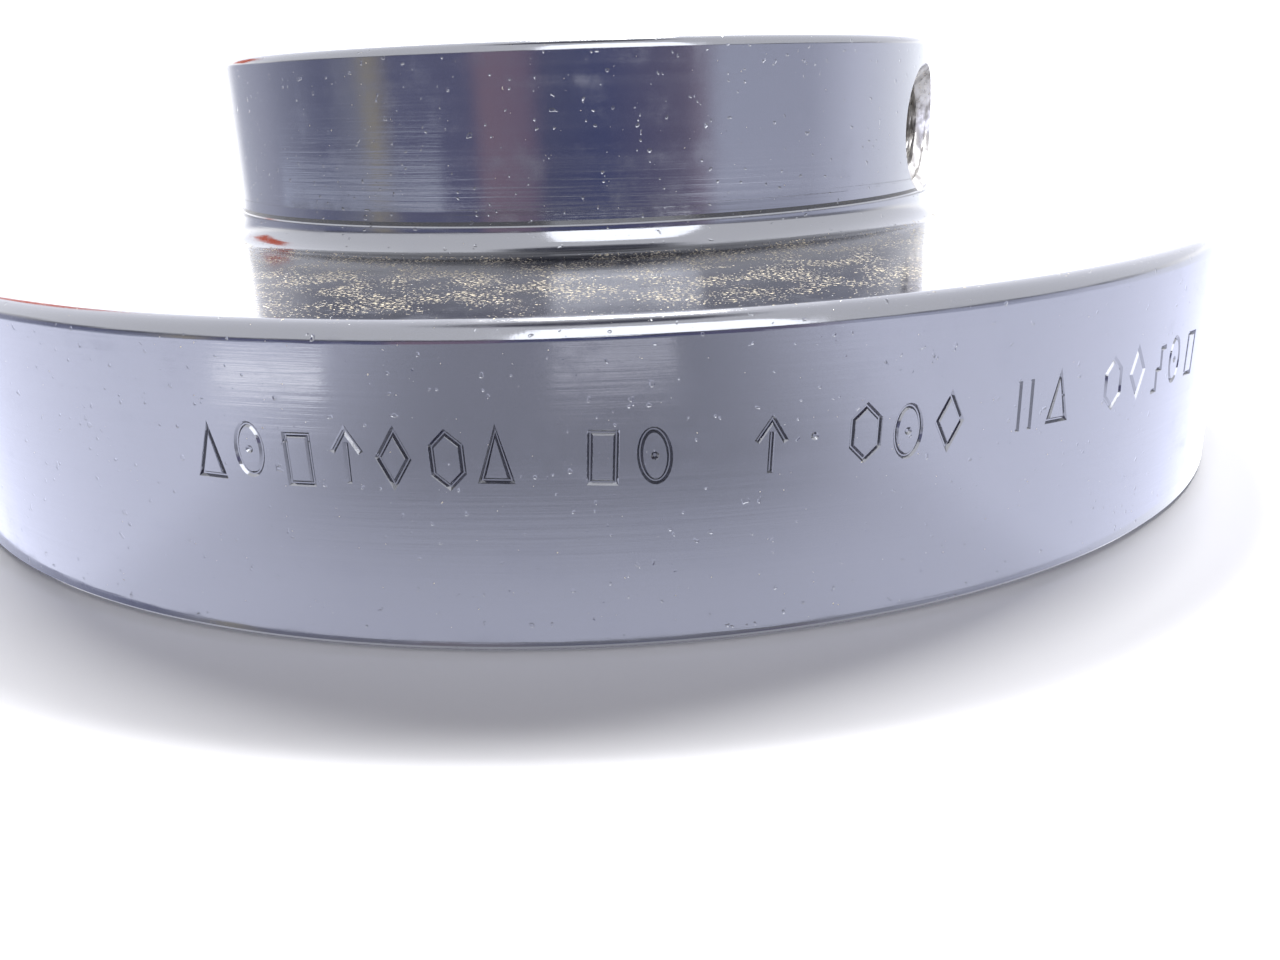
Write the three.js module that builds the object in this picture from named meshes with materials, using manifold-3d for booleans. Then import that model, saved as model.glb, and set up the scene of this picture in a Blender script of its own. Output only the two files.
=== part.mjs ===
// One flange of a flexible shaft coupling: an iron hub and rim in one casting, and two set screws.
// Millimetres. +Z runs along the shaft, from the rim's open front face at z = 0 to the hub's end.
// The side set screw points along +X. The keyway and the set screw over it point along +Y.
import * as THREE from "three";
import { mergeVertices } from "three/addons/utils/BufferGeometryUtils.js";
import Module from "manifold-3d";

const wasm = await Module();
wasm.setup();

const INCH = 25.4;

// The casting's outside.
const RIM_RADIUS = (6.35 / 2) * INCH;
const RIM_WIDTH = 1.0625 * INCH;
const HUB_RADIUS = (3.625 / 2) * INCH;
const HUB_END = 1.875 * INCH; // overall length, from the rim's front face to the hub's end
const HUB_EDGE = 1; // rounding of the hub's outer edge
const HUB_FILLET = 3; // hollow fillet where the hub meets the rim's back
const RIM_EDGE = 2; // rounding of the rim's back edge
const RIM_CHAMFER = 0.4; // chamfer of the rim's front edge

// The boss and the web behind the rim's front face.
const BOSS_FACE = 0.0625 * INCH; // how far the boss stops short of the rim's front face
const BOSS_RADIUS = 43;
const BOSS_FILLET = 2.5; // rounding at the foot of the boss
const WEB_FACE = 18.5; // depth of the pocket, down to the web that joins the hub to the rim

// The shaft's bore and keyway.
const BORE_RADIUS = 0.75 * INCH;
const BORE_CHAMFER = 1;
const KEY_WIDTH = 0.375 * INCH;
const KEY_FLOOR = 0.919 * INCH; // from the axis to the keyway's flat floor

// The ring of teeth that grips the rubber sleeve.
const TOOTH_COUNT = 40;
const TOOTH_ROOT_RADIUS = 75.6;
const TOOTH_CREST_RADIUS = 69.4;
const GAP_AT_ROOT = 0.4; // share of the tooth pitch
const GAP_AT_CREST = 0.62;
const MOUTH_BEVEL = 0.9; // bevel round the pocket's mouth, which leads the sleeve's teeth in

// The set screws, half-inch with 13 threads to the inch.
const SCREW_RADIUS = 0.25 * INCH;
const THREAD_PITCH = INCH / 13;
const THREAD_DEPTH = 0.6 * THREAD_PITCH;
const SCREW_HEIGHT = (RIM_WIDTH + HUB_END) / 2; // halfway up the hub's bare length
const CUP_RADIUS = 3.2;
const CUP_DEPTH = 1.4;
const POINT_LENGTH = 2.2; // the cone between the cup's edge and the thread
const SCREW_CHAMFER = 0.9;
const SOCKET_FLATS = 0.25 * INCH;
const SOCKET_DEPTH = 6.2;
const HOLE_CLEARANCE = 0.15;
const COUNTERSINK_RADIUS = 7.2;

// Each set screw stands one turn short of what it presses on, as it does when the shaft goes in.
const SIDE_SCREW = { length: 0.75 * INCH, tip: BORE_RADIUS + THREAD_PITCH };
const KEY_SCREW = { length: 0.625 * INCH, tip: KEY_FLOOR + THREAD_PITCH };

const CAST_STEPS = 96;
const SCREW_STEPS = 36;
const PAST = 5; // how far a cutter runs past the face that it cuts

const ironMaterial = new THREE.MeshStandardMaterial({ color: 0x1d2028, roughness: 0.3, metalness: 0.6 });
const screwMaterial = new THREE.MeshStandardMaterial({ color: 0x23242a, roughness: 0.4, metalness: 0.9 });

// A closed geometry as a solid that can be joined and cut.
function solid(geometry) {
  const bare = geometry.clone();
  bare.deleteAttribute("normal");
  bare.deleteAttribute("uv");
  const merged = mergeVertices(bare, 1e-4);
  const triVerts = new Uint32Array(merged.index.array);
  return new wasm.Manifold(
    new wasm.Mesh({ numProp: 3, vertProperties: merged.attributes.position.array, triVerts }),
  );
}

// A solid's triangles as a geometry for a mesh.
function geometryOf(manifold) {
  const mesh = manifold.getMesh();
  const geometry = new THREE.BufferGeometry();
  geometry.setAttribute("position", new THREE.BufferAttribute(mesh.vertProperties, 3));
  geometry.setIndex(new THREE.BufferAttribute(mesh.triVerts, 1));
  geometry.computeVertexNormals();
  return geometry;
}

// A profile of [radius, height] points turned about +Z.
function turned(profile, steps) {
  const points = profile.map(([radius, height]) => new THREE.Vector2(radius, height));
  return solid(new THREE.LatheGeometry(points, steps).rotateX(Math.PI / 2));
}

// The [radius, height] points of an arc between two angles in degrees.
function arc(centreRadius, centreHeight, radius, from, to, steps) {
  return Array.from({ length: steps + 1 }, (_, step) => {
    const angle = THREE.MathUtils.degToRad(from + ((to - from) * step) / steps);
    return [centreRadius + radius * Math.cos(angle), centreHeight + radius * Math.sin(angle)];
  });
}

// The hub, web, rim and boss in one turned blank, with no pocket or holes yet.
function blank() {
  return turned(
    [
      [0, BOSS_FACE],
      [TOOTH_CREST_RADIUS, BOSS_FACE],
      [TOOTH_CREST_RADIUS, 0],
      [RIM_RADIUS - RIM_CHAMFER, 0],
      [RIM_RADIUS, RIM_CHAMFER],
      ...arc(RIM_RADIUS - RIM_EDGE, RIM_WIDTH - RIM_EDGE, RIM_EDGE, 0, 90, 4),
      ...arc(HUB_RADIUS + HUB_FILLET, RIM_WIDTH + HUB_FILLET, HUB_FILLET, 270, 180, 5),
      ...arc(HUB_RADIUS - HUB_EDGE, HUB_END - HUB_EDGE, HUB_EDGE, 0, 90, 3),
      [0, HUB_END],
    ],
    CAST_STEPS,
  );
}

// The outline of the teeth and the gaps between them, looking along the shaft.
function toothOutline() {
  const pitch = (2 * Math.PI) / TOOTH_COUNT;
  const corners = [
    [TOOTH_CREST_RADIUS, -GAP_AT_CREST / 2],
    [TOOTH_ROOT_RADIUS, -GAP_AT_ROOT / 2],
    [TOOTH_ROOT_RADIUS, GAP_AT_ROOT / 2],
    [TOOTH_CREST_RADIUS, GAP_AT_CREST / 2],
  ];
  const points = [];
  for (let tooth = 0; tooth < TOOTH_COUNT; tooth++) {
    for (const [radius, aside] of corners) {
      const angle = (tooth + aside) * pitch;
      points.push(new THREE.Vector2(radius * Math.cos(angle), radius * Math.sin(angle)));
    }
  }
  return new THREE.Shape(points);
}

// The pocket that takes the rubber sleeve: toothed outside, with the boss left standing inside it.
function sleevePocket() {
  const depth = WEB_FACE + PAST;
  const teeth = new THREE.ExtrudeGeometry(toothOutline(), { depth, bevelEnabled: false });
  const mouth = turned(
    [
      [0, -PAST],
      [TOOTH_CREST_RADIUS + MOUTH_BEVEL + PAST, -PAST],
      [TOOTH_CREST_RADIUS - PAST, MOUTH_BEVEL + PAST],
      [0, MOUTH_BEVEL + PAST],
    ],
    CAST_STEPS,
  );
  const boss = turned(
    [
      [0, -2 * PAST],
      [BOSS_RADIUS, -2 * PAST],
      ...arc(BOSS_RADIUS + BOSS_FILLET, WEB_FACE - BOSS_FILLET, BOSS_FILLET, 180, 90, 4),
      [BOSS_RADIUS + BOSS_FILLET, WEB_FACE + PAST],
      [0, WEB_FACE + PAST],
    ],
    CAST_STEPS,
  );
  return solid(teeth.translate(0, 0, -PAST)).add(mouth).subtract(boss);
}

// The bore with its two chamfers, and the keyway that runs its whole length.
function boreAndKeyway() {
  const bore = turned(
    [
      [0, BOSS_FACE - PAST],
      [BORE_RADIUS + BORE_CHAMFER + PAST, BOSS_FACE - PAST],
      [BORE_RADIUS, BOSS_FACE + BORE_CHAMFER],
      [BORE_RADIUS, HUB_END - BORE_CHAMFER],
      [BORE_RADIUS + BORE_CHAMFER + PAST, HUB_END + PAST],
      [0, HUB_END + PAST],
    ],
    CAST_STEPS,
  );
  const keyway = new THREE.BoxGeometry(KEY_WIDTH, KEY_FLOOR, HUB_END + 2 * PAST);
  return bore.add(solid(keyway.translate(0, KEY_FLOOR / 2, HUB_END / 2)));
}

// The hole for the side set screw, along +X, with the countersink at its mouth.
function screwHole() {
  const radius = SCREW_RADIUS + HOLE_CLEARANCE;
  const mouth = HUB_RADIUS - (COUNTERSINK_RADIUS - radius);
  const hole = turned(
    [
      [0, BORE_RADIUS / 2],
      [radius, BORE_RADIUS / 2],
      [radius, mouth],
      [COUNTERSINK_RADIUS, HUB_RADIUS],
      [COUNTERSINK_RADIUS, HUB_RADIUS + PAST],
      [0, HUB_RADIUS + PAST],
    ],
    SCREW_STEPS,
  );
  return hole.rotate([0, 90, 0]).translate([0, 0, SCREW_HEIGHT]);
}

function couplingFlange() {
  const sideHole = screwHole();
  const keyHole = sideHole.rotate([0, 0, 90]);
  const holes = sideHole.add(keyHole).add(boreAndKeyway());
  return blank().subtract(sleevePocket()).subtract(holes);
}

// A set screw standing on its cup point, its thread drawn as rings, with a hexagon socket in its end.
function setScrew(length) {
  const threadStart = POINT_LENGTH + SCREW_CHAMFER;
  const turns = Math.floor((length - SCREW_CHAMFER - threadStart) / THREAD_PITCH);
  const thread = Array.from({ length: turns }, (_, turn) => {
    const crest = threadStart + turn * THREAD_PITCH;
    return [
      [SCREW_RADIUS, crest],
      [SCREW_RADIUS - THREAD_DEPTH, crest + THREAD_PITCH / 2],
    ];
  });
  const body = turned(
    [
      [0, CUP_DEPTH],
      [CUP_RADIUS, 0],
      [SCREW_RADIUS - THREAD_DEPTH, POINT_LENGTH],
      ...thread.flat(),
      [SCREW_RADIUS, threadStart + turns * THREAD_PITCH],
      [SCREW_RADIUS - SCREW_CHAMFER, length],
      [0, length],
    ],
    SCREW_STEPS,
  );
  const socketRadius = SOCKET_FLATS / Math.sqrt(3);
  const socket = new THREE.CylinderGeometry(socketRadius, socketRadius, SOCKET_DEPTH + PAST, 6);
  socket.rotateX(Math.PI / 2).translate(0, 0, length + (PAST - SOCKET_DEPTH) / 2);
  return body.subtract(solid(socket));
}

// A set screw in its hole, in a group that is turned about the shaft to where the hole is.
function placedScrew(name, { length, tip }, turn) {
  const mesh = new THREE.Mesh(geometryOf(setScrew(length)), screwMaterial);
  mesh.name = name;
  mesh.rotation.y = Math.PI / 2;
  mesh.position.set(tip, 0, SCREW_HEIGHT);
  const group = new THREE.Group();
  group.rotation.z = turn;
  group.add(mesh);
  return group;
}

const flange = new THREE.Mesh(geometryOf(couplingFlange()), ironMaterial);
flange.name = "coupling_flange";

const part = new THREE.Group();
part.add(flange);
part.add(placedScrew("side_set_screw", SIDE_SCREW, 0));
part.add(placedScrew("key_set_screw", KEY_SCREW, Math.PI / 2));

export default part;
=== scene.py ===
"""The look of a coupling flange: a turned and blackened iron casting and its two set screws.

Lengths are millimetres until a mesh is made, where MM turns them into Blender's metres. The frame is the
CAD model's: +Z along the shaft, the rim's open face at z = 0, +X through the side set screw, and +Y
through the keyway and the set screw over it.
"""

import math
import random

import bmesh
import bpy
import numpy as np
from mathutils import Matrix, Vector

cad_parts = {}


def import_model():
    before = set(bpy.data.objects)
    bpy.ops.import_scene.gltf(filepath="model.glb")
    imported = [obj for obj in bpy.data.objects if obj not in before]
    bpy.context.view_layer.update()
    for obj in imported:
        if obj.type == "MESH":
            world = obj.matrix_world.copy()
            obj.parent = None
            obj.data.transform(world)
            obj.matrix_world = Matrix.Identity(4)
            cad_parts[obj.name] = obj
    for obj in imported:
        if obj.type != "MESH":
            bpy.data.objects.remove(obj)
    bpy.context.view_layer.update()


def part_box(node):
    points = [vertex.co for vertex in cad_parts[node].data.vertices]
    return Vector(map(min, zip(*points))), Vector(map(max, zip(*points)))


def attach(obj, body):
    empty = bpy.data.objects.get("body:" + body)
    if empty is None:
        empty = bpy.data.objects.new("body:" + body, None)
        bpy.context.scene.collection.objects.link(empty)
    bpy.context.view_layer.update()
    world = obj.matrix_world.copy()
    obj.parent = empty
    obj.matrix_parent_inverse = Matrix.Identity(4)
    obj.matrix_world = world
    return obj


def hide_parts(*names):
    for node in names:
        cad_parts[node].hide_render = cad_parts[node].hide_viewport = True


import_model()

MM = 0.001

# ---------------------------------------------------------------------------------------------- sizes
FLANGE_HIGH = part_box("coupling_flange")[1] / MM
SIDE_LOW, SIDE_HIGH = [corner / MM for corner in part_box("side_set_screw")]
KEY_LOW, KEY_HIGH = [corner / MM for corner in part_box("key_set_screw")]

RIM_RADIUS = FLANGE_HIGH.x
HUB_END = FLANGE_HIGH.z
RIM_WIDTH = 26.9875
RIM_EDGE = 1.7
RIM_CHAMFER = 0.4
HUB_RADIUS = 46.0375
HUB_EDGE = 1.0
FILLET = 2.9
CUT_DEPTH = 0.11  # the hub's finishing cut, which stopped at a low ring over the fillet
RING_FOOT = RIM_WIDTH + FILLET + 0.15
RING_CREST = RING_FOOT + 0.45
RING_TOP = RING_CREST + 1.0
BOSS_FACE = 1.5875
BOSS_RADIUS = 43.0
BOSS_FILLET = 2.5
WEB_FACE = 18.5
BORE_RADIUS = 19.05
BORE_CHAMFER = 1.0
KEY_WIDTH = 9.525
KEY_FLOOR = 23.3426
KEY_CORNER = 0.5
KEY_EDGE = 0.3

TOOTH_COUNT = 40
TOOTH_ROOT = 75.6
TOOTH_CREST = 69.4
GAP_AT_ROOT = 0.4  # share of the tooth pitch
GAP_AT_CREST = 0.62
TOOTH_ROUND = 0.9
TOOTH_DRAFT = 0.12
TOOTH_FOOT = 1.0
TOOTH_HEIGHTS = (12, 6)  # rows between the tooth's foot and its mouth
TEETH_CLEAR = 4  # how far inside the crests the turned part of the web ends
MOUTH_BEVEL = 0.9
MOUTH_CHAMFER = 0.25
FACE_ROW = 3  # from the rim's wall to a row of points on the rim's flat front face

SCREW_HEIGHT = (SIDE_HIGH.z + SIDE_LOW.z) / 2
PITCH = 25.4 / 13
PITCH_RADIUS = 5.7155
MALE_RADII = (5.15, 6.3)
FEMALE_RADII = (5.42, 6.43)
THREAD_GAP = 0.09
FLANK_ANGLE = math.radians(30)
COLUMNS = 96  # round a screw or its hole
TURN_ROWS = 14  # along each turn of thread
SINK_RADIUS = 7.45
POINT_RADIUS = 3.2
CUP = ((0.2, 1.5), (1.6, 0.9), (2.8, 0.25), (3.05, 0.06))  # radius, and depth from the tip
END_RADIUS = 4.7
END_CHAMFER = (5.35, 1.1)  # radius at the screw's end, and its growth for each millimetre
SOCKET_FLATS = 6.35
SOCKET_ROUND = 0.25  # how far the socket's round mouth reaches past its corners
SOCKET_SLOPE = 0.7
SOCKET_DEPTHS = (1.2, 3.5, 6.0)
SOCKET_FLOOR = ((2.9, 6.2), (0.2, 7.6))  # the drill's cone under the socket: radius, and depth

PAST = 3  # how far a cutter reaches past the iron
SHARP_ANGLE = 35  # a mesh that turns by more than this many degrees shows an edge
CAMERA_AZIMUTH = math.radians(27.5)


# ------------------------------------------------------------------------------------- mesh building
def grid_faces(rows, columns, closed_rows=False):
    """Quads of a grid whose columns wrap round, and whose rows do too if closed_rows."""
    bands = rows if closed_rows else rows - 1
    row, column = np.meshgrid(np.arange(bands), np.arange(columns), indexing="ij")
    above, beside = (row + 1) % rows, (column + 1) % columns
    corners = [(row, column), (row, beside), (above, beside), (above, column)]
    return np.stack([a * columns + b for a, b in corners], -1).reshape(-1, 4).tolist()


def capped_grid(rows):
    """Points and faces of a tube of rows, closed at both ends by a fan to the middle of the end row."""
    rows = np.array(rows)
    count, columns = rows.shape[:2]
    faces = grid_faces(count, columns)
    first, last = count * columns, count * columns + 1
    for column in range(columns):
        beside = (column + 1) % columns
        faces.append([first, beside, column])
        faces.append([last, first - columns + column, first - columns + beside])
    points = np.concatenate([rows.reshape(-1, 3), [rows[0].mean(0)], [rows[-1].mean(0)]])
    return points, faces


def linked(name, data):
    """A new object in the scene that shows this mesh, light or camera."""
    piece = bpy.data.objects.new(name, data)
    bpy.context.scene.collection.objects.link(piece)
    return piece


def mesh_object(name, points, faces, materials, slot_of_face=None):
    """A piece from points in millimetres, with its faces turned outwards."""
    mesh = bpy.data.meshes.new(name)
    mesh.from_pydata((np.asarray(points) * MM).tolist(), [], faces)
    for material in materials:
        mesh.materials.append(material)
    if slot_of_face is not None:
        mesh.polygons.foreach_set("material_index", np.asarray(slot_of_face, dtype=np.int32))
    form = bmesh.new()
    form.from_mesh(mesh)
    bmesh.ops.recalc_face_normals(form, faces=form.faces)
    form.to_mesh(mesh)
    form.free()
    return linked(name, mesh)


def cut(piece, cutters):
    """Takes the cutters out of the piece for good. New faces keep the cutters' material slots."""
    for cutter in cutters:
        step = piece.modifiers.new("cut", "BOOLEAN")
        step.operation = "DIFFERENCE"
        step.solver = "MANIFOLD"
        step.object = cutter
    bpy.context.view_layer.update()
    made = bpy.data.meshes.new_from_object(piece.evaluated_get(bpy.context.evaluated_depsgraph_get()))
    piece.modifiers.clear()
    piece.data = made
    for cutter in cutters:
        bpy.data.objects.remove(cutter)


def smooth(mesh):
    mesh.polygons.foreach_set("use_smooth", np.ones(len(mesh.polygons), dtype=bool))
    mesh.set_sharp_from_angle(angle=math.radians(SHARP_ANGLE))


# ------------------------------------------------------------------------------- the casting's profile
# A profile is a list of steps (start, start normal, end, end normal) in the plane of radius and height,
# with the iron on its left.
def straight(start, end, steps=1):
    """A straight line, cut into equal steps."""
    start, end = np.array(start, float), np.array(end, float)
    along = (end - start) / np.linalg.norm(end - start)
    normal = np.array([along[1], -along[0]])
    points = [start + (end - start) * step / steps for step in range(steps + 1)]
    return [(a, normal, b, normal) for a, b in zip(points, points[1:])]


def bend(centre, radius, start, end, steps=8):
    """An arc between two angles in degrees. It is a round edge if the angle grows, and hollow if not."""
    side = 1 if end > start else -1
    angles = np.radians(np.linspace(start, end, steps + 1))
    rays = [np.array([math.cos(angle), math.sin(angle)]) for angle in angles]
    points = [np.array(centre) + radius * ray for ray in rays]
    return [(points[i], side * rays[i], points[i + 1], side * rays[i + 1]) for i in range(steps)]


def turned_profile():
    """Up the rim, in over its back, up and over the hub, and down the bore to the boss's face."""
    wall = HUB_RADIUS - CUT_DEPTH
    return [
        *straight((RIM_RADIUS - RIM_CHAMFER, 0), (RIM_RADIUS, RIM_CHAMFER)),
        *straight((RIM_RADIUS, RIM_CHAMFER), (RIM_RADIUS, RIM_WIDTH - RIM_EDGE), 12),
        *bend((RIM_RADIUS - RIM_EDGE, RIM_WIDTH - RIM_EDGE), RIM_EDGE, 0, 90),
        *straight((RIM_RADIUS - RIM_EDGE, RIM_WIDTH), (HUB_RADIUS + FILLET, RIM_WIDTH), 12),
        *bend((HUB_RADIUS + FILLET, RIM_WIDTH + FILLET), FILLET, 270, 180, 12),
        *straight((HUB_RADIUS, RIM_WIDTH + FILLET), (wall, RING_FOOT)),
        *straight((wall, RING_FOOT), (HUB_RADIUS, RING_CREST)),
        *straight((HUB_RADIUS, RING_CREST), (wall, RING_TOP)),
        *straight((wall, RING_TOP), (wall, HUB_END - HUB_EDGE), 6),
        *bend((wall - HUB_EDGE, HUB_END - HUB_EDGE), HUB_EDGE, 0, 90, 6),
        *straight((wall - HUB_EDGE, HUB_END), (BORE_RADIUS + BORE_CHAMFER, HUB_END), 8),
        *straight((BORE_RADIUS + BORE_CHAMFER, HUB_END), (BORE_RADIUS, HUB_END - BORE_CHAMFER)),
        *straight((BORE_RADIUS, HUB_END - BORE_CHAMFER), (BORE_RADIUS, BOSS_FACE + BORE_CHAMFER), 8),
        *straight((BORE_RADIUS, BOSS_FACE + BORE_CHAMFER), (BORE_RADIUS + BORE_CHAMFER, BOSS_FACE)),
        *straight((BORE_RADIUS + BORE_CHAMFER, BOSS_FACE), (BOSS_RADIUS - RIM_CHAMFER, BOSS_FACE), 6),
        *straight((BOSS_RADIUS - RIM_CHAMFER, BOSS_FACE), (BOSS_RADIUS, BOSS_FACE + RIM_CHAMFER)),
    ]


def cast_profile():
    """The part of the pocket that the teeth don't shape: the boss's wall, its foot and the web."""
    foot = (BOSS_RADIUS + BOSS_FILLET, WEB_FACE - BOSS_FILLET)
    return [
        *straight((BOSS_RADIUS, BOSS_FACE + RIM_CHAMFER), (BOSS_RADIUS, WEB_FACE - BOSS_FILLET), 4),
        *bend(foot, BOSS_FILLET, 180, 90),
        *straight((BOSS_RADIUS + BOSS_FILLET, WEB_FACE), (TOOTH_CREST - TEETH_CLEAR, WEB_FACE), 4),
    ]


# ------------------------------------------------------------------------------------------ the teeth
def rounded(corners, radius, steps=4):
    """A closed outline with an arc in place of each corner, and a point halfway along each side."""
    outline = []
    for before, corner, after in zip(np.roll(corners, 1, 0), corners, np.roll(corners, -1, 0)):
        back, ahead = [(end - corner) / np.linalg.norm(end - corner) for end in (before, after)]
        half = math.acos(np.dot(back, ahead)) / 2
        middle = corner + (back + ahead) / np.linalg.norm(back + ahead) * radius / math.sin(half)
        start, end = [corner + side * radius / math.tan(half) - middle for side in (back, ahead)]
        swing = math.pi - 2 * half
        for step in range(steps + 1):
            share = step / steps
            blend = start * math.sin((1 - share) * swing) + end * math.sin(share * swing)
            outline.append(middle + blend / math.sin(swing))
    made = []
    for i, point in enumerate(outline):
        made.append(point)
        if i % (steps + 1) == steps:
            made.append((point + outline[(i + 1) % len(outline)]) / 2)
    return np.array(made)


def tooth_outline():
    """The pocket's toothed wall, looking along the shaft, anticlockwise."""
    pitch = 2 * math.pi / TOOTH_COUNT
    shape = [
        (TOOTH_CREST, -GAP_AT_CREST / 2),
        (TOOTH_ROOT, -GAP_AT_ROOT / 2),
        (TOOTH_ROOT, GAP_AT_ROOT / 2),
        (TOOTH_CREST, GAP_AT_CREST / 2),
    ]
    corners = []
    for tooth in range(TOOTH_COUNT):
        for radius, aside in shape:
            angle = (tooth + aside) * pitch
            corners.append((radius * math.cos(angle), radius * math.sin(angle)))
    return rounded(np.array(corners), TOOTH_ROUND)


def inset(outline, depth):
    """The outline moved inwards, towards the shaft, at right angles to itself."""
    along = np.roll(outline, -1, 0) - np.roll(outline, 1, 0)
    along /= np.linalg.norm(along, axis=1)[:, None]
    return outline + depth * np.stack([-along[:, 1], along[:, 0]], 1)


def tooth_rows(outline):
    """Rows of the toothed wall, from the web down to the mouth, and on over the rim's front face."""
    steps = 5
    rows = []
    for step in range(steps + 1):
        angle = math.radians(90 * step / steps)
        depth = TOOTH_DRAFT + TOOTH_FOOT * (1 - math.sin(angle))
        rows.append((inset(outline, depth), WEB_FACE - TOOTH_FOOT * (1 - math.cos(angle))))
    for height in (*TOOTH_HEIGHTS, MOUTH_BEVEL, MOUTH_BEVEL / 2, MOUTH_CHAMFER):
        rows.append((inset(outline, TOOTH_DRAFT * height / WEB_FACE), height))
    rows.append((inset(outline, -MOUTH_CHAMFER), 0))
    made = []
    for points, height in rows:
        radius = np.linalg.norm(points, axis=1)
        bevelled = np.maximum(radius, TOOTH_CREST + MOUTH_BEVEL - height)
        points = points * (bevelled / radius)[:, None]
        made.append(np.column_stack([points, np.full(len(points), height)]))
    return made


# ---------------------------------------------------------------------------------------- the casting
def casting_blank(materials):
    """The whole casting without its keyway, screw holes and stamped marks, as one closed grid."""
    outline = tooth_outline()
    angles = np.arctan2(outline[:, 1], outline[:, 0])
    around = np.column_stack([np.cos(angles), np.sin(angles)])

    def turned_row(point):
        return np.column_stack([around * point[0], np.full(len(around), point[1])])

    turned, cast = turned_profile(), cast_profile()
    rows = [turned_row(step[0]) for step in turned + cast]
    rows.append(turned_row(cast[-1][2]))
    rows += tooth_rows(outline)
    front_from = len(rows) - 1
    rows.append(turned_row((RIM_RADIUS - FACE_ROW, 0)))
    slots = [0] * len(turned) + [1] * (front_from - len(turned)) + [0] * (len(rows) - front_from)
    points = np.concatenate(rows)
    faces = grid_faces(len(rows), len(around), closed_rows=True)
    return mesh_object("flange_casting", points, faces, materials, np.repeat(slots, len(around)))


NEAR_PROFILE = 0.08  # how far from a step of the profile a face's middle may be, to lie on that step
SAME_FACING = 0.97  # the least cosine between such a face's normal and the step's


def numbers_of(items, name):
    """One number for each item of a mesh."""
    made = np.empty(len(items), dtype=np.int32)
    items.foreach_get(name, made)
    return made


def vectors_of(items, name):
    """One vector for each item of a mesh."""
    made = np.empty(len(items) * 3)
    items.foreach_get(name, made)
    return made.reshape(-1, 3)


def steps_of_faces(mesh, starts, start_normals, ends, end_normals):
    """The step of the profile that each face lies on, or -1."""
    centres = vectors_of(mesh.polygons, "center") / MM
    facing = vectors_of(mesh.polygons, "normal")
    radius = np.hypot(centres[:, 0], centres[:, 1])
    outward = centres[:, :2] / np.maximum(radius, 1e-9)[:, None]
    flat = np.column_stack([radius, centres[:, 2]])
    flat_facing = np.column_stack([(facing[:, :2] * outward).sum(1), facing[:, 2]])
    best = np.full(len(flat), -1)
    nearest = np.full(len(flat), NEAR_PROFILE)
    for i, (start, span) in enumerate(zip(starts, ends - starts)):
        share = np.clip((flat - start) @ span / (span @ span), 0, 1)
        distance = np.linalg.norm(flat - start - share[:, None] * span, axis=1)
        middle = start_normals[i] + end_normals[i]
        agrees = flat_facing @ middle / np.linalg.norm(middle) > SAME_FACING
        better = agrees & (distance < nearest)
        best[better] = i
        nearest[better] = distance[better]
    return best


def profile_normals(mesh, profile):
    """Gives turned surfaces the exact normals of their profile, so cuts leave no marks in the gloss."""
    starts, start_normals, ends, end_normals = [np.array(column) for column in zip(*profile)]
    best = steps_of_faces(mesh, starts, start_normals, ends, end_normals)
    step = np.repeat(best, numbers_of(mesh.polygons, "loop_total"))
    known = step >= 0
    step = step[known]
    points = vectors_of(mesh.vertices, "co") / MM
    where = points[numbers_of(mesh.loops, "vertex_index")[known]]
    reach = np.hypot(where[:, 0], where[:, 1])
    flat = np.column_stack([reach, where[:, 2]])
    span = (ends - starts)[step]
    share = ((flat - starts[step]) * span).sum(1) / (span * span).sum(1)
    share = np.clip(share, 0, 1)[:, None]
    normal = start_normals[step] * (1 - share) + end_normals[step] * share
    normal /= np.linalg.norm(normal, axis=1)[:, None]
    normals = vectors_of(mesh.corner_normals, "vector")
    normals[known] = np.column_stack([where[:, :2] / reach[:, None] * normal[:, :1], normal[:, 1]])
    mesh.normals_split_custom_set(normals.tolist())


def keyway_cutter(materials):
    """The broached slot, flared where it breaks out of the hub's end and of the boss's face."""
    half = KEY_WIDTH / 2
    low_y = BORE_RADIUS / 2
    steps = 4
    outline = [(-half, low_y), (half, low_y)]
    for side, start in ((1, 0), (-1, 90)):
        for step in range(steps + 1):
            angle = math.radians(start + 90 * step / steps)
            x = side * (half - KEY_CORNER) + KEY_CORNER * math.cos(angle)
            outline.append((x, KEY_FLOOR - KEY_CORNER + KEY_CORNER * math.sin(angle)))
    outline = np.array(outline)
    rows = []
    for height, grown in (
        (BOSS_FACE - PAST, PAST + KEY_EDGE),
        (BOSS_FACE + KEY_EDGE, 0),
        (HUB_END - KEY_EDGE, 0),
        (HUB_END + PAST, PAST + KEY_EDGE),
    ):
        row = outline + np.sign(outline - [0, (low_y + KEY_FLOOR) / 2]) * [grown, grown]
        row[:2, 1] = low_y
        rows.append(np.column_stack([row, np.full(len(row), height)]))
    return mesh_object("keyway_cutter", *capped_grid(rows), materials)


# ------------------------------------------------------------------------------ set screws and threads
def round_columns():
    """The angles of the points round a screw or its hole."""
    return np.arange(COLUMNS) * 2 * math.pi / COLUMNS


def thread_radius(distance, angles, limits, gap=0.0):
    """A right-hand thread's radius at a distance along its axis, its crests flattened to the limits.

    The thread crosses its pitch radius a quarter of a turn away from each crest.
    """
    turns = distance / PITCH - angles / (2 * math.pi)
    from_crest = np.abs(turns - np.round(turns))
    radius = PITCH_RADIUS + gap + (0.25 - from_crest) * PITCH / math.tan(FLANK_ANGLE)
    return np.clip(radius, *limits)


def thread_stations(start, end):
    """Distances along the thread that keep step with its turns, with the two ends."""
    step = PITCH / TURN_ROWS
    clear = 0.2  # of a step, between an end and the nearest row
    inner = np.arange(math.ceil(start / step + clear), math.floor(end / step - clear) + 1) * step
    return [start, *inner, end]


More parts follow.
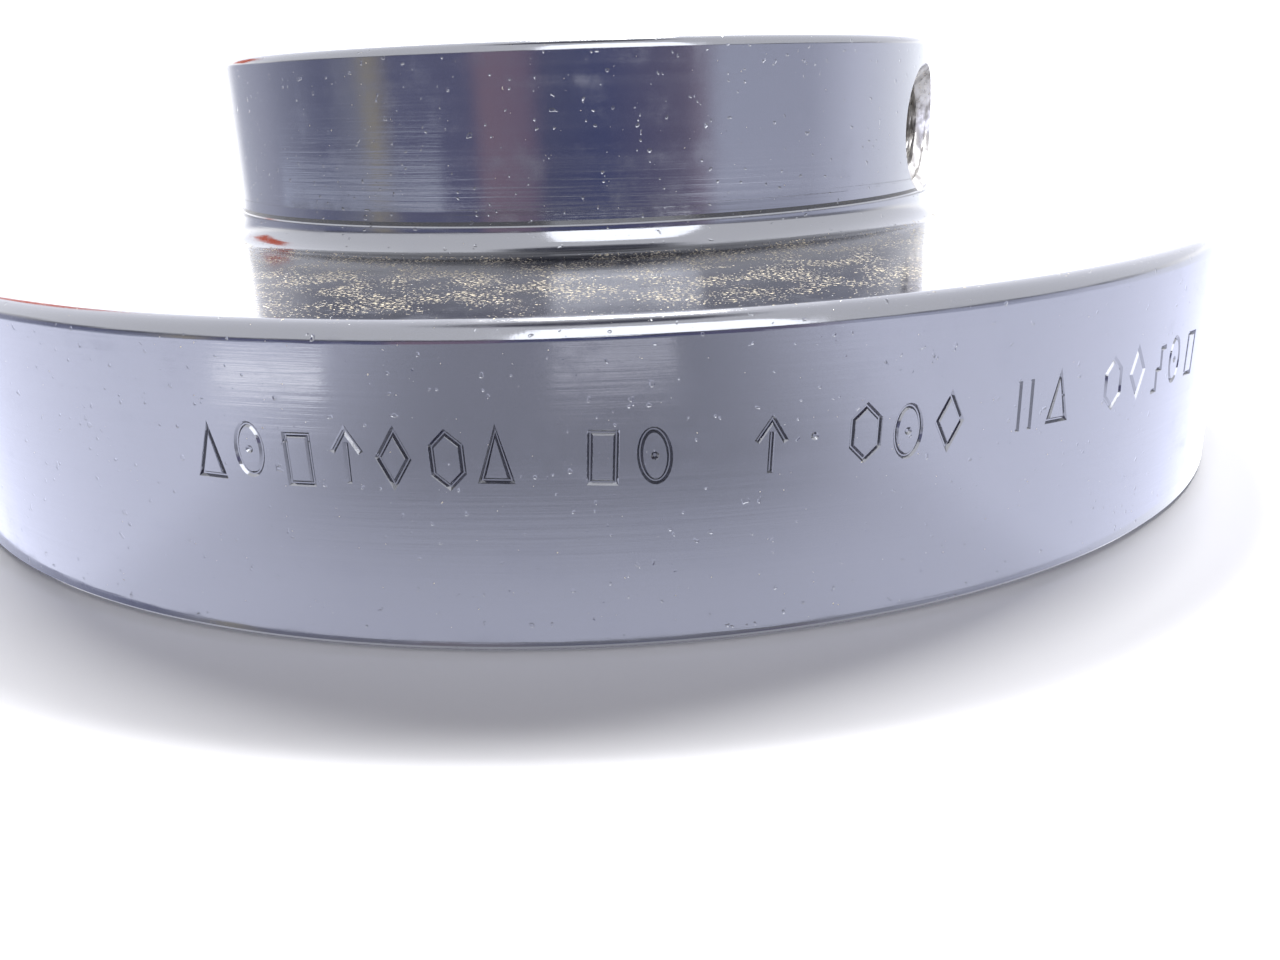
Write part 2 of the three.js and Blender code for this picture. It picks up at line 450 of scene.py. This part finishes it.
def along_hole(radii, distance, towards_y):
    """One row of points round a hole's axis, which runs along +X, or along +Y if towards_y."""
    angles = round_columns()
    radii, distance = [np.broadcast_to(values, angles.shape) for values in (radii, distance)]
    aside, height = radii * np.cos(angles), SCREW_HEIGHT + radii * np.sin(angles)
    if towards_y:
        return np.column_stack([-aside, distance, height])
    return np.column_stack([distance, aside, height])


def screw_hole_cutter(materials, towards_y):
    """The tapped hole and its countersink, both in the last material, bare cut metal."""
    angles = round_columns()
    rows = []
    for distance in thread_stations(BORE_RADIUS / 2, HUB_RADIUS + PAST):
        radii = thread_radius(distance, angles, FEMALE_RADII, THREAD_GAP)
        sink = min(SINK_RADIUS, SINK_RADIUS + distance - HUB_RADIUS)
        rows.append(along_hole(np.maximum(radii, sink), distance, towards_y))
    points, faces = capped_grid(rows)
    return mesh_object("hole_cutter", points, faces, materials, [len(materials) - 1] * len(faces))


def hexagon_radius(angles):
    """The socket's radius in each direction, with its flats SOCKET_FLATS apart."""
    sixth = math.pi / 3
    return SOCKET_FLATS / 2 / np.cos((angles + sixth / 2) % sixth - sixth / 2)


def set_screw(name, tip, end, towards_y, material):
    """A cup-point socket set screw from its tip to its end, with a real helical thread."""
    angles = round_columns()
    rows = []

    def ring(radii, distance):
        rows.append(along_hole(radii, distance, towards_y))

    for radius, depth in CUP:
        ring(radius, tip + depth)
    for distance in thread_stations(tip, end):
        radii = thread_radius(distance, angles, MALE_RADII)
        point = POINT_RADIUS + (distance - tip)
        chamfer = END_CHAMFER[0] + END_CHAMFER[1] * (end - distance)
        ring(np.minimum(radii, min(point, chamfer)), distance)
    hexagon = hexagon_radius(angles)
    mouth = SOCKET_FLATS / math.sqrt(3) + SOCKET_ROUND
    ring(END_RADIUS, end)
    ring(mouth, end)
    ring(hexagon, end - (mouth - hexagon) * SOCKET_SLOPE)
    for depth in SOCKET_DEPTHS:
        ring(hexagon, end - depth)
    for radius, depth in SOCKET_FLOOR:
        ring(radius, end - depth)
    return mesh_object(name, *capped_grid(rows), [material])


# -------------------------------------------------------------------------------------- stamped marks
MARK_SPACING = 2.9  # degrees round the shaft
MARK_HEIGHT = 16.4
MARK_STROKE = 0.46
MARK_DOT = 0.34
DOT_SIDES = 14
DOT_FLOOR = 0.4  # the radius of a dot's floor, as a share of the dot's
MARK_DEPTH = (0.16, 0.28)
MARK_LIFT = 0.05  # how far the cutters stand out of the rim's wall
STROKE_FLOOR = 0.12  # half the width of a stroke's flat floor, as a share of its whole width
STROKE_END = 0.8  # how far a stroke runs past its path, as a share of its half width
MITRE_LIMIT = 0.4
# How far a mark strays from its place, either way: degrees round the shaft, degrees of tilt, and height.
STRAY_ANGLE = 0.2
STRAY_TILT = 4
STRAY_HEIGHT = 0.35


def on_rim(flat, height):
    """Points given by arc length and height along the shaft, at a height above the rim's wall."""
    angle = flat[:, 0] / RIM_RADIUS
    reach = RIM_RADIUS + height
    return np.column_stack([reach * np.cos(angle), reach * np.sin(angle), flat[:, 1]])


def punch(centre, radius, depth):
    """Points and faces of a cutter for one round dot."""
    ring = polygon(DOT_SIDES, 1)
    sizes = ((radius + MARK_LIFT, MARK_LIFT), (radius, 0), (radius * DOT_FLOOR, -depth))
    return capped_grid([on_rim(ring * size + centre, height) for size, height in sizes])


def groove(path, closed, width, depth):
    """Points and faces of a cutter for one V-shaped stroke. The path is in arc length and height."""
    path = np.array(path, float)
    count = len(path)
    ahead = np.roll(path, -1, 0) - path
    back = path - np.roll(path, 1, 0)
    if not closed:
        ahead[-1] = back[-1]
        back[0] = ahead[0]
    ahead /= np.linalg.norm(ahead, axis=1)[:, None]
    back /= np.linalg.norm(back, axis=1)[:, None]
    along = ahead + back
    along /= np.linalg.norm(along, axis=1)[:, None]
    aside = np.stack([-along[:, 1], along[:, 0]], 1)
    mitre = 1 / np.maximum((along * ahead).sum(1), MITRE_LIMIT)
    flare = 0.5 + 0.5 * MARK_LIFT / depth
    section = ((-flare, MARK_LIFT), (-STROKE_FLOOR, -depth), (STROKE_FLOOR, -depth), (flare, MARK_LIFT))
    rows = []
    for share, height in section:
        flat = path + aside * (share * width * mitre)[:, None]
        if not closed:
            flat[0] -= ahead[0] * width * (abs(share) * STROKE_END)
            flat[-1] += ahead[-1] * width * (abs(share) * STROKE_END)
        rows.append(on_rim(flat, height))
    points = np.stack(rows, 1).reshape(-1, 3)
    faces = grid_faces(count, 4, closed_rows=closed)
    if not closed:
        faces += [[3, 2, 1, 0], [4 * count - 4 + corner for corner in range(4)]]
    return points, faces


def polygon(sides, radius, turn=0.0, stretch=1.0):
    """A regular polygon's corners, the first one turned by degrees, stretched along the rim."""
    angles = math.radians(turn) + np.arange(sides) * 2 * math.pi / sides
    return np.column_stack([radius * np.cos(angles) * stretch, radius * np.sin(angles)])


# Each mark's strokes: a path in millimetres, and whether it is closed. A path of one point is a dot.
MARKS = {
    "triangle": [([(-1.15, -1.9), (0, 2.1), (1.15, -1.9)], True)],
    "diamond": [(polygon(4, 2.2, 0, 0.55), True)],
    "block": [([(-1.0, -2.0), (1.0, -2.0), (1.0, 2.0), (-1.0, 2.0)], True)],
    "target": [(polygon(28, 2.1, 0, 0.55), True), ([(0, 0)], True)],
    "hexagon": [(polygon(6, 2.2, 30, 0.62), True)],
    "arrow": [([(-1.1, 0.4), (0, 2.1), (1.1, 0.4)], False), ([(0, -2.1), (0, 0.9)], False)],
    "steps": [([(-1.2, -1.9), (-0.4, -1.9), (-0.4, 0), (0.5, 0), (0.5, 1.9), (1.3, 1.9)], False)],
    "bars": [([(-0.7, -2.0), (-0.7, 2.0)], False), ([(0.7, -2.0), (0.7, 2.0)], False)],
    "dot": [([(0, 0)], True)],
}

# Each group's first angle round the shaft in degrees, and its marks.
MARK_GROUPS = (
    (-85.4, ("triangle", "target", "block", "arrow", "diamond", "hexagon", "triangle")),
    (-62.3, ("block", "target")),
    (-53.1, ("arrow", "dot", "hexagon", "target", "diamond")),
    (-35.9, ("bars", "triangle")),
    (-27.2, ("hexagon", "diamond", "steps", "target", "block")),
)


def stamped_marks(materials):
    """One cutter for the row of plain geometric marks, struck by hand a little out of line."""
    random.seed(9)
    points, faces = [], []
    for start, names in MARK_GROUPS:
        for i, name in enumerate(names):
            angle = math.radians(start + MARK_SPACING * i + random.uniform(-STRAY_ANGLE, STRAY_ANGLE))
            tilt = math.radians(random.uniform(-STRAY_TILT, STRAY_TILT))
            height = MARK_HEIGHT + random.uniform(-STRAY_HEIGHT, STRAY_HEIGHT)
            shift = np.array([angle * RIM_RADIUS, height])
            turn = np.array([[math.cos(tilt), math.sin(tilt)], [-math.sin(tilt), math.cos(tilt)]])
            depth = random.uniform(*MARK_DEPTH)
            for path, closed in MARKS[name]:
                path = np.array(path) @ turn + shift
                if len(path) == 1:
                    made, quads = punch(path[0], MARK_DOT, depth)
                else:
                    made, quads = groove(path, closed, MARK_STROKE, depth)
                faces += [[corner + len(points) for corner in quad] for quad in quads]
                points += made.tolist()
    return mesh_object("mark_cutter", points, faces, materials)


# ------------------------------------------------------------------------------------------ materials
class Nodes:
    """A tree of shader nodes. add() makes one, sets its inputs by value or link, and returns it."""

    def __init__(self, tree):
        self.tree = tree

    def add(self, kind, inputs=None, **settings):
        node = self.tree.nodes.new(kind)
        for key, value in settings.items():
            setattr(node, key, value)
        self.set(node, inputs or {})
        return node

    def set(self, node, inputs):
        for key, value in inputs.items():
            if isinstance(value, bpy.types.NodeSocket):
                self.tree.links.new(value, node.inputs[key])
            else:
                node.inputs[key].default_value = value

    def maths(self, operation, *values):
        return self.add("ShaderNodeMath", dict(enumerate(values)), operation=operation).outputs[0]

    def vector_maths(self, operation, first, second):
        node = self.add("ShaderNodeVectorMath", {0: first, 1: second}, operation=operation)
        return node.outputs["Value" if operation == "DOT_PRODUCT" else "Vector"]

    def vector(self, x, y, z):
        return self.add("ShaderNodeCombineXYZ", {"X": x, "Y": y, "Z": z}).outputs[0]

    def parts(self, vector):
        """The vector's X, Y and Z."""
        return self.add("ShaderNodeSeparateXYZ", {"Vector": vector}).outputs

    def point(self):
        """The point on the piece, in metres."""
        return self.add("ShaderNodeTexCoord").outputs["Object"]

    def radius(self, parts):
        """A point's distance from the shaft's axis."""
        squares = [self.maths("POWER", parts[axis], 2.0) for axis in ("X", "Y")]
        return self.maths("SQRT", self.maths("ADD", *squares))

    def noise(self, vector, scale, detail=2.0, roughness=0.5):
        """Smooth noise about 0.5, with about this many bumps to the metre."""
        inputs = {"Vector": vector, "Scale": scale, "Detail": detail, "Roughness": roughness}
        return self.add("ShaderNodeTexNoise", inputs).outputs["Fac"]

    def ramp(self, value, low, high, out_low=0.0, out_high=1.0):
        """Runs smoothly from out_low to out_high as the value goes from low to high."""
        inputs = {"Value": value, "From Min": low, "From Max": high, "To Min": out_low, "To Max": out_high}
        return self.add("ShaderNodeMapRange", inputs, interpolation_type="SMOOTHSTEP").outputs["Result"]

    def mix(self, share, first, second):
        """A mix of two colours, by the sockets' numbers, because their names repeat."""
        node = self.add("ShaderNodeMix", data_type="RGBA")
        self.set(node, {0: share, 6: first, 7: second})
        return node.outputs[2]

    def bump(self, height, strength, distance, under=None):
        inputs = {"Height": height, "Strength": strength, "Distance": distance}
        if under is not None:
            inputs["Normal"] = under
        return self.add("ShaderNodeBump", inputs).outputs["Normal"]


class Shader(Nodes):
    """The nodes of a new material."""

    def __init__(self, name):
        self.material = bpy.data.materials.new(name)
        self.material.use_nodes = True
        super().__init__(self.material.node_tree)
        self.surface = self.tree.nodes["Principled BSDF"]

    def emit(self, colour, strength):
        """Makes the material give light instead of reflecting it."""
        glow = self.add("ShaderNodeEmission", {"Color": colour, "Strength": strength})
        self.tree.links.new(glow.outputs[0], self.tree.nodes["Material Output"].inputs["Surface"])
        self.tree.nodes.remove(self.surface)


BLUE_BLACK = (0.013, 0.015, 0.028, 1)
WORN_BLACK = (0.026, 0.027, 0.042, 1)
OIL_FILM = (0.046, 0.049, 0.066, 1)
DARK_DUST = (0.17, 0.135, 0.07, 1)
PALE_DUST = (0.80, 0.68, 0.44, 1)
CAST_BLACK = (0.020, 0.021, 0.026, 1)
CAST_GREY = (0.045, 0.042, 0.042, 1)
OILY_METAL = (0.34, 0.32, 0.29, 1)
BARE_METAL = (0.78, 0.76, 0.72, 1)
OXIDE_BLACK = (0.035, 0.036, 0.042, 1)
RUBBED_OXIDE = (0.12, 0.12, 0.125, 1)


def settled_dust(shader, point, radius, height, level):
    """Where specks of dust lie: on level surfaces, in clumps, and most on the sheltered web."""
    inward = shader.ramp(radius, 0.081, 0.072, 0.5, 1.0)  # half as much at the rim's edge
    low = shader.ramp(height, 0.030, 0.045, 1.0, 0.35)  # a third as much on the hub's end
    sheltered = shader.maths("MULTIPLY", inward, low)
    clumps = shader.ramp(shader.noise(point, 190, 3, 0.6), 0.3, 0.65, 0.3, 1.0)
    clumped = shader.maths("MULTIPLY", sheltered, clumps)
    settled = shader.maths("MULTIPLY", level, clumped)
    specks = shader.noise(point, 3000, 2, 0.55)
    threshold = shader.ramp(settled, 0.0, 1.0, 0.752, 0.565)
    return shader.ramp(shader.maths("SUBTRACT", specks, threshold), 0.0, 0.03)


def turned_bumps(shader, point, ring_point, bands):
    """The turned skin's normal: fine rings and wider bands from the lathe, grain and nicks."""
    rings = shader.noise(ring_point, 2400, 3, 0.6)
    grain = shader.noise(point, 2600, 3, 0.6)
    nicks = shader.ramp(shader.noise(point, 1300, 1), 0.78, 0.72)
    bumps = shader.bump(rings, 0.4, 0.00003)
    bumps = shader.bump(bands, 0.10, 0.0001, bumps)
    bumps = shader.bump(grain, 0.15, 0.00002, bumps)
    return shader.bump(nicks, 0.6, 0.00008, bumps)


def blackened_iron():
    """Turned iron, blackened and oiled: rings from the lathe, fine grain, swarf and dust."""
    shader = Shader("blackened_iron")
    point = shader.point()
    parts = shader.parts(point)
    radius, height = shader.radius(parts), parts["Z"]
    # Noise at this point varies across the lathe's rings, and only slowly along them.
    drift = shader.vector_maths("MULTIPLY", point, (0.02, 0.02, 0.0))
    ring_point = shader.vector_maths("ADD", shader.vector(radius, height, 0.0), drift)
    bands = shader.noise(ring_point, 520, 2)
    blotches = shader.noise(point, 55, 4, 0.6)
    scuffs = shader.noise(point, 240, 4, 0.65)

    upward = shader.parts(shader.add("ShaderNodeNewGeometry").outputs["Normal"])["Z"]
    level = shader.ramp(upward, 0.8, 0.98)
    film = shader.maths("MULTIPLY", level, shader.ramp(scuffs, 0.3, 0.7, 0.55, 0.95))
    dust = settled_dust(shader, point, radius, height, level)
    dust_colour = shader.mix(shader.ramp(shader.noise(point, 2200, 1), 0.35, 0.65), DARK_DUST, PALE_DUST)
    colour = shader.mix(shader.ramp(blotches, 0.35, 0.7), BLUE_BLACK, WORN_BLACK)
    colour = shader.mix(film, colour, OIL_FILM)
    colour = shader.mix(dust, colour, dust_colour)

    roughness = shader.ramp(bands, 0.3, 0.7, 0.08, 0.15)
    roughness = shader.maths("ADD", roughness, shader.ramp(scuffs, 0.45, 0.8, 0.0, 0.14))
    bumps = turned_bumps(shader, point, ring_point, bands)
    shader.set(
        shader.surface,
        {
            "Base Color": colour,
            "Metallic": 0.0,
            "IOR": 2.3,
            "Roughness": shader.maths("ADD", roughness, shader.maths("MULTIPLY", dust, 0.5)),
            "Normal": shader.bump(dust, 0.5, 0.0001, bumps),
        },
    )
    return shader.material


def cast_iron():
    """The pocket's as-cast skin under the same black finish: rougher, duller and slightly pitted."""
    shader = Shader("cast_iron")
    point = shader.point()
    skin = shader.noise(point, 900, 5, 0.65)
    pits = shader.noise(point, 2400, 2, 0.5)
    shader.set(
        shader.surface,
        {
            "Base Color": shader.mix(shader.ramp(skin, 0.35, 0.7), CAST_BLACK, CAST_GREY),
            "IOR": 2.0,
            "Roughness": shader.ramp(skin, 0.3, 0.7, 0.42, 0.62),
            "Normal": shader.bump(pits, 0.3, 0.00005, shader.bump(skin, 0.5, 0.00015)),
        },
    )
    return shader.material


def cut_metal():
    """Threads and countersinks cut after blackening: bare grey iron with oil in the hollows."""
    shader = Shader("cut_metal")
    point = shader.point()
    chatter = shader.noise(point, 1800, 3, 0.6)
    stain = shader.noise(point, 350, 3, 0.6)
    shader.set(
        shader.surface,
        {
            "Base Color": shader.mix(shader.ramp(stain, 0.36, 0.58), OILY_METAL, BARE_METAL),
            "Metallic": 0.85,
            "Roughness": shader.ramp(chatter, 0.3, 0.7, 0.25, 0.5),
            "Normal": shader.bump(chatter, 0.25, 0.00004),
        },
    )
    return shader.material


def screw_steel():
    """Black oxide alloy steel, oiled, rubbed a little brighter in patches."""
    shader = Shader("screw_steel")
    point = shader.point()
    grain = shader.noise(point, 2600, 3, 0.6)
    wear = shader.noise(point, 500, 3, 0.6)
    shader.set(
        shader.surface,
        {
            "Base Color": shader.mix(shader.ramp(wear, 0.45, 0.75), OXIDE_BLACK, RUBBED_OXIDE),
            "Metallic": 0.6,
            "IOR": 2.0,
            "Roughness": shader.ramp(grain, 0.3, 0.7, 0.25, 0.4),
            "Normal": shader.bump(grain, 0.15, 0.00002),
        },
    )
    return shader.material


# ------------------------------------------------------------------------------- studio and camera
CAMERA_DISTANCE = 164.04  # from the shaft's axis
CAMERA_HEIGHT = 42.87
CAMERA_PITCH = math.radians(18.89)  # downwards
CAMERA_YAW = math.radians(2.07)  # to the right of the shaft's axis
CAMERA_ROLL = math.radians(1.89)
CAMERA_LENS = 0.8937  # focal length as a share of the picture's width
SENSOR_WIDTH = 36


def camera():
    """The camera close in front of the rim, turned a little aside and rolled."""
    data = bpy.data.cameras.new("camera")
    data.sensor_width = SENSOR_WIDTH
    data.lens = CAMERA_LENS * SENSOR_WIDTH
    data.clip_start = 0.005
    piece = linked("camera", data)
    piece.matrix_world = (
        Matrix.Rotation(CAMERA_AZIMUTH, 4, "Z")
        @ Matrix.Translation(Vector((0, -CAMERA_DISTANCE, CAMERA_HEIGHT)) * MM)
        @ Matrix.Rotation(-CAMERA_YAW, 4, "Z")
        @ Matrix.Rotation(math.pi / 2 - CAMERA_PITCH, 4, "X")
        @ Matrix.Rotation(-CAMERA_ROLL, 4, "Z")
    )
    bpy.context.scene.camera = piece


# The studio is in metres.
FLOOR_RADIUS = 0.32
FLOOR_HEIGHT = -0.00005
GLOW_HEIGHT = 0.00002
GLOW_GAP = 0.0015  # between the rim and the paper that the gloss sees
PATCH_HEIGHT = 0.0001
PINHOLE = 0.0001  # the inner radius of a disc with no hole
DISC_SIDES = 96
FLOOR_WHITE = (0.9, 0.9, 0.92, 1)

LIGHT_DISTANCE = 0.9
LIGHT_AIM = 0.03  # the height of the point on the shaft's axis that the lights face

# The paper that the gloss sees: its light far from the camera and in front of it, where it is shaded.
PAPER_COLOUR = (0.93, 0.97, 1.22, 1)
PAPER_LIGHT = 2.8
SHADED_LIGHT = 1.05
SHADE_MIDDLE = -3  # degrees from the camera's side
SHADE_CORE = math.radians(4)
SHADE_REACH = math.radians(39)
# The shaded paper is lighter next to the rim, by this much at most, and out to this far.
RIM_GLOW = 1.1
RIM_GLOW_REACH = (0.003, 0.050)
RIM_GLOW_PAPER = (1.0, 2.7)  # the glow fades out as the paper's own light goes from the first to the last


def towards(azimuth, elevation):
    """A direction from the object, turned anticlockwise from the camera's side, in degrees."""
    turn = math.radians(azimuth) + CAMERA_AZIMUTH - math.pi / 2
    rise = math.radians(elevation)
    return Vector((math.cos(turn) * math.cos(rise), math.sin(turn) * math.cos(rise), math.sin(rise)))


def disc(name, inner, outer, height):
    """A flat ring of the stage."""
    angles = np.arange(DISC_SIDES) * 2 * math.pi / DISC_SIDES
    around = np.column_stack([np.cos(angles), np.sin(angles), np.zeros(DISC_SIDES)])
    points = np.concatenate([around * inner, around * outer]) + [0, 0, height]
    mesh = bpy.data.meshes.new(name)
    mesh.from_pydata(points.tolist(), [], grid_faces(2, DISC_SIDES))
    piece = linked(name, mesh)
    return piece


def floor():
    """The pale floor that carries the shadow. The gloss sees floor_glow instead."""
    piece = disc("floor", PINHOLE, FLOOR_RADIUS, FLOOR_HEIGHT)
    shader = Shader("floor")
    shader.set(shader.surface, {"Base Color": FLOOR_WHITE, "Roughness": 0.9})
    piece.data.materials.append(shader.material)
    piece.visible_glossy = False


def only_in_gloss(piece):
    piece.visible_camera = False
    piece.visible_diffuse = False
    piece.visible_shadow = False


def floor_glow():
    """What the gloss sees of the floor: bright paper, dimmer in front where the camera shades it."""
    rim = RIM_RADIUS * MM
    piece = disc("floor_glow", rim + GLOW_GAP, FLOOR_RADIUS, GLOW_HEIGHT)
    only_in_gloss(piece)
    shader = Shader("floor_glow")
    point = shader.add("ShaderNodeNewGeometry").outputs["Position"]
    ahead = shader.vector_maths("DOT_PRODUCT", point, towards(SHADE_MIDDLE, 0))
    radius = shader.radius(shader.parts(point))
    aside = shader.maths("DIVIDE", ahead, radius)
    paper = shader.ramp(aside, math.cos(SHADE_REACH), math.cos(SHADE_CORE), PAPER_LIGHT, SHADED_LIGHT)
    near = shader.ramp(radius, *[rim + reach for reach in RIM_GLOW_REACH], 1.0, 0.0)
    glow = shader.maths("MULTIPLY", near, shader.ramp(paper, *RIM_GLOW_PAPER, RIM_GLOW, 0.0))
    shader.emit(PAPER_COLOUR, shader.maths("ADD", paper, glow))
    piece.data.materials.append(shader.material)


def window(azimuths, elevations, distance):
    """The corners of an upright panel, given by its sides in degrees as seen from the object."""
    return [towards(azimuths[i], elevations[j]) * distance for i, j in ((0, 0), (1, 0), (1, 1), (0, 1))]


def floor_patch(azimuths, radii):
    """The corners of a patch of the floor between two directions and two distances in millimetres."""
    lift = Vector((0, 0, PATCH_HEIGHT))
    return [towards(azimuths[i], 0) * radii[j] * MM + lift for i, j in ((0, 0), (1, 0), (1, 1), (0, 1))]


def panel(name, corners, light):
    """A bright or coloured panel that only the gloss sees."""
    mesh = bpy.data.meshes.new(name)
    mesh.from_pydata(corners, [], [(0, 1, 2, 3)])
    piece = linked(name, mesh)
    only_in_gloss(piece)
    shader = Shader(name)
    shader.emit((*light, 1), 1.0)
    mesh.materials.append(shader.material)


def area_light(name, azimuth, elevation, size, power, in_gloss=True):
    """A soft light of this size and power in watts, which the gloss may leave out."""
    data = bpy.data.lights.new(name, "AREA")
    data.shape = "RECTANGLE"
    data.size, data.size_y = size
    data.energy = power
    piece = linked(name, data)
    ray = towards(azimuth, elevation)
    piece.visible_glossy = in_gloss
    piece.location = ray * LIGHT_DISTANCE + Vector((0, 0, LIGHT_AIM))
    piece.rotation_mode = "QUATERNION"
    piece.rotation_quaternion = ray.to_track_quat("Z", "Y")


# The room round the object near eye level: degrees from the camera's side, anticlockwise, and the light
# that comes from there.
ROOM = (
    (-180, (3.5, 3.5, 3.6)),
    (-152, (3.0, 3.0, 3.1)),
    (-136, (1.15, 1.2, 1.45)),
    (-115, (1.1, 1.15, 1.5)),
    (-84, (0.52, 0.56, 0.92)),
    (-72, (0.80, 0.84, 1.15)),
    (-66, (1.25, 1.15, 0.95)),
    (-59, (0.50, 0.53, 0.92)),
    (-34, (0.45, 0.47, 0.85)),
    (-30, (0.90, 0.66, 0.92)),
    (-17, (0.72, 0.55, 0.85)),
    (-12, (0.33, 0.36, 0.70)),
    (5, (0.26, 0.31, 0.73)),
    (30, (0.55, 0.50, 0.82)),
    (35, (0.95, 0.85, 1.20)),
    (41, (1.60, 1.70, 2.25)),
    (72, (1.60, 1.68, 2.20)),
    (92, (2.30, 2.40, 3.00)),
    (130, (2.80, 2.90, 3.20)),
    (180, (3.5, 3.5, 3.6)),
)
BRIGHTEST = 4.0
FRONT_SKY = (0.22, 0.23, 0.30, 1)
BACK_SKY = (3.4, 3.4, 3.5, 1)
HIGH_BAND = (2.4, 2.45, 2.7, 1)  # bright walls over the camera, which only rounded edges reflect
AMBIENT = (0.27, 0.26, 0.26, 1)  # what matt surfaces get, so that the shadow stays deep
BELOW = (0.80, 0.82, 0.95, 1)
BACKDROP = (1.5, 1.5, 1.5, 1)  # what the camera sees past the floor


def room_light(nodes, direction, ahead):
    """The light of ROOM in a direction, whatever its height."""
    sideways = nodes.vector_maths("DOT_PRODUCT", direction, towards(90, 0))
    turn = nodes.maths("ARCTAN2", sideways, ahead)
    share = nodes.maths("ADD", nodes.maths("DIVIDE", turn, 2 * math.pi), 0.5)
    room = nodes.add("ShaderNodeValToRGB", {"Fac": share})
    stops = room.color_ramp.elements
    while len(stops) < len(ROOM):
        stops.new(0.5)
    for stop, (azimuth, _) in zip(stops, ROOM):
        stop.position = azimuth / 360 + 0.5
    for stop, (_, light) in zip(stops, ROOM):
        stop.color = (*[value / BRIGHTEST for value in light], 1)
    return nodes.vector_maths("MULTIPLY", room.outputs[0], (BRIGHTEST, BRIGHTEST, BRIGHTEST))


def world():
    """A bright studio behind the object and a dim room on the camera's side."""
    made = bpy.data.worlds.new("studio")
    made.use_nodes = True
    bpy.context.scene.world = made
    nodes = Nodes(made.node_tree)
    direction = nodes.add("ShaderNodeTexCoord").outputs["Generated"]
    rise = nodes.parts(direction)["Z"]
    ahead = nodes.vector_maths("DOT_PRODUCT", direction, towards(0, 0))
    sky = nodes.mix(nodes.ramp(ahead, 0.05, -0.55), FRONT_SKY, BACK_SKY)
    band = nodes.maths("MULTIPLY", nodes.ramp(rise, 0.16, 0.28), nodes.ramp(rise, 0.985, 0.94))
    sky = nodes.mix(band, sky, HIGH_BAND)
    light = nodes.mix(nodes.ramp(rise, 0.08, 0.22), room_light(nodes, direction, ahead), sky)
    light = nodes.mix(nodes.ramp(rise, -0.35, -0.50), light, BELOW)
    paths = nodes.add("ShaderNodeLightPath").outputs
    light = nodes.mix(paths["Is Glossy Ray"], AMBIENT, light)
    seen = nodes.mix(paths["Is Camera Ray"], light, BACKDROP)
    nodes.set(nodes.tree.nodes["Background"], {"Color": seen, "Strength": 1.0})


def studio():
    """The floor, the room, what else the gloss reflects, and the lights that cast the shadow."""
    floor()
    floor_glow()
    world()
    panel("warm_card", window((-126, -113), (25, 36), 0.18), (1.5, 0.30, 0.15))
    panel("high_window", window((-13, 34), (12, 52), 1.2), (6.5, 6.7, 7.4))
    panel("left_paper", floor_patch((-105, -42), (330, 760)), (1.30, 1.40, 1.85))
    panel("front_patch", floor_patch((-5, 9), (170, 215)), (2.0, 2.05, 2.45))
    panel("left_patch", floor_patch((-45, -31), (165, 188)), (4.2, 4.3, 4.9))
    area_light("key", 176, 59, (0.20, 0.13), 8)
    area_light("left_fill", -144, 54, (0.26, 0.18), 5.8, in_gloss=False)
    area_light("right_fill", 134, 54, (0.26, 0.18), 7.2, in_gloss=False)
    bpy.context.scene.view_settings.view_transform = "Standard"


# ------------------------------------------------------------------------------------------- assembly
def build():
    """The casting and its two screws, each on its own body in place of its CAD node."""
    materials = [blackened_iron(), cast_iron(), cut_metal()]
    steel = screw_steel()
    flange = casting_blank(materials)
    cut(
        flange,
        [
            keyway_cutter(materials),
            screw_hole_cutter(materials, False),
            screw_hole_cutter(materials, True),
            stamped_marks(materials),
        ],
    )
    smooth(flange.data)
    profile_normals(flange.data, turned_profile() + cast_profile())
    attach(flange, "flange")
    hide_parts("coupling_flange")

    side = set_screw("side_screw", SIDE_LOW.x, SIDE_HIGH.x, False, steel)
    key = set_screw("key_screw", KEY_LOW.y, KEY_HIGH.y, True, steel)
    for screw, body, node in ((side, "side_screw", "side_set_screw"), (key, "key_screw", "key_set_screw")):
        smooth(screw.data)
        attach(screw, body)
        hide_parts(node)


camera()
studio()
build()
